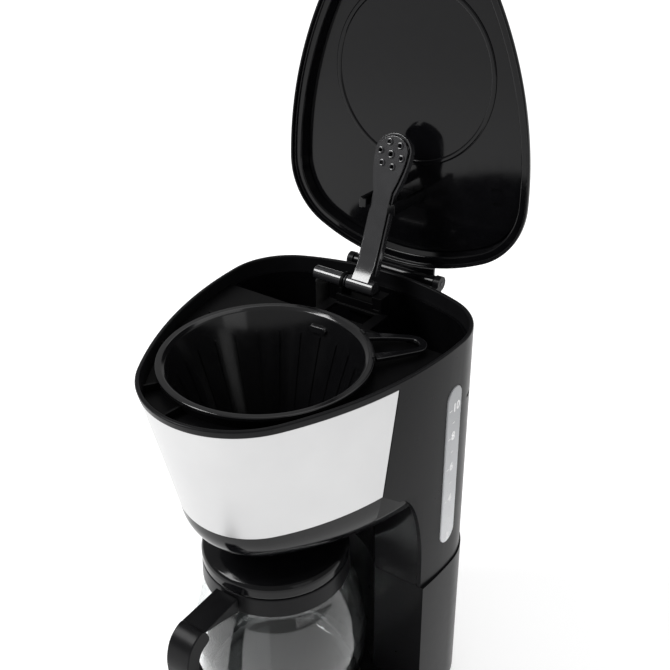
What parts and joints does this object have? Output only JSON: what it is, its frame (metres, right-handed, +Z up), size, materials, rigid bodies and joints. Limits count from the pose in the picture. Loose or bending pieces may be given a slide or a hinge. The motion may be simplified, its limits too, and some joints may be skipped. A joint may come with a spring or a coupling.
{
  "type": "drip coffee maker",
  "caption": "Drip coffee maker with an egg-shaped body, lift-up lid with a swing-over spray arm, lift-out filter basket, rear water tank with gauge, and a jug on a hot plate.",
  "frame": {"origin": "middle of the bounding box's footprint, on the table under the feet, with the lid open", "axes": "+Z up; the machine faces -Y; its water gauge is on the +X side; the lid's hinge and the spray arm's pivot run along X at the rear"},
  "size_m": [0.187, 0.2776, 0.5383],
  "materials": {
    "satin_black": "satin black moulding",
    "gloss_black": "polished black moulding",
    "steel": "fine satin sheet",
    "frosted": "translucent frosted window",
    "plate_black": "dark non-stick coat",
    "element": "bare extrusion",
    "sensor": "bare can",
    "ceramic": "off-white",
    "hose": "milky silicone",
    "clear_plastic": "white moulding",
    "foot_rubber": "black rubber",
    "screw_steel": "zinc plated",
    "switch_red": "translucent red",
    "seal_red": "silicone seal",
    "glass": "clear glass"
  },
  "bodies": {
    "machine": {"upper_housing": "satin_black", "steel_band": "steel", "drip_head": "gloss_black", "column_liner": "gloss_black", "basket_well": "satin_black", "water_tank": "satin_black", "gauge_window": "frosted", "base_housing": "satin_black", "bottom_plate": "satin_black", "foot_1": "foot_rubber", "foot_2": "foot_rubber", "foot_3": "foot_rubber", "foot_4": "foot_rubber", "base_screw_1": "screw_steel", "base_screw_2": "screw_steel", "base_screw_3": "screw_steel", "base_screw_4": "screw_steel", "hot_plate": "plate_black", "heating_element": "element", "thermostat": "sensor", "thermal_fuse": "ceramic", "terminal_block": "ceramic", "inlet_hose": "hose", "check_valve": "clear_plastic", "tank_outlet": "hose", "tank_screen": "clear_plastic", "riser_hose": "hose", "pivot_bracket": "satin_black", "outlet_tube": "gloss_black", "hinge_pin": "screw_steel", "cord_gland": "foot_rubber", "switch_bezel": "satin_black"},
    "switch": {"switch_rocker": "switch_red"},
    "lid": {"lid_shell": "satin_black", "lid_panel": "gloss_black", "lid_knuckle": "gloss_black", "arm_hook_left": "gloss_black", "arm_hook_right": "gloss_black"},
    "arm": {"spray_plate": "gloss_black", "spray_cover": "gloss_black"},
    "basket": {"filter_basket": "satin_black", "valve_spring": "screw_steel"},
    "grip": {"basket_grip": "gloss_black"},
    "valve": {"valve_plunger": "clear_plastic", "valve_seal": "seal_red"},
    "jug": {"jug_glass": "glass", "jug_collar": "satin_black", "jug_handle": "satin_black"},
    "jug_cap": {"jug_lid": "gloss_black"}
  },
  "joints": [
    {"name": "lid_hinge", "type": "hinge", "parent": "machine", "child": "lid", "pos_m": [0, 0.10925, 0.3063], "axis": [1, 0, 0], "range_deg": [0, 92]},
    {"name": "spray_arm", "type": "hinge", "parent": "machine", "child": "arm", "pos_m": [0, 0.06725, 0.3124], "axis": [1, 0, 0], "range_deg": [0, 113.4]},
    {"name": "basket_lift", "type": "slide", "parent": "machine", "child": "basket", "axis": [0, 0, -1], "range_m": [-0.15, 0]},
    {"name": "basket_grip_fold", "type": "hinge", "parent": "basket", "child": "grip", "pos_m": [0.04626, 0.01016, 0.3085], "axis": [-0.7193, 0.6947, 0], "range_deg": [-90, 0]},
    {"name": "jug_slide", "type": "slide", "parent": "machine", "child": "jug", "axis": [0, 1, 0], "range_m": [-0.2, 0]},
    {"name": "jug_lid_twist", "type": "hinge", "parent": "jug", "child": "jug_cap", "pos_m": [0, -0.03775, 0.1583], "axis": [0, 0, 1], "range_deg": [-60, 0]},
    {"name": "drip_valve", "type": "slide", "parent": "basket", "child": "valve", "axis": [0, 0, 1], "range_m": [0, 0.004], "stiffness_N_per_m": 120, "springref_m": -0.004, "deforming": ["valve_spring"]},
    {"name": "power_switch", "type": "hinge", "parent": "machine", "child": "switch", "pos_m": [0, -0.11895, 0.01975], "axis": [0, 0, 1], "range_deg": [0, 14]}
  ],
  "couplings": [
    {"joint": "spray_arm", "follows": "lid_hinge", "ratio": 1.2326}
  ]
}
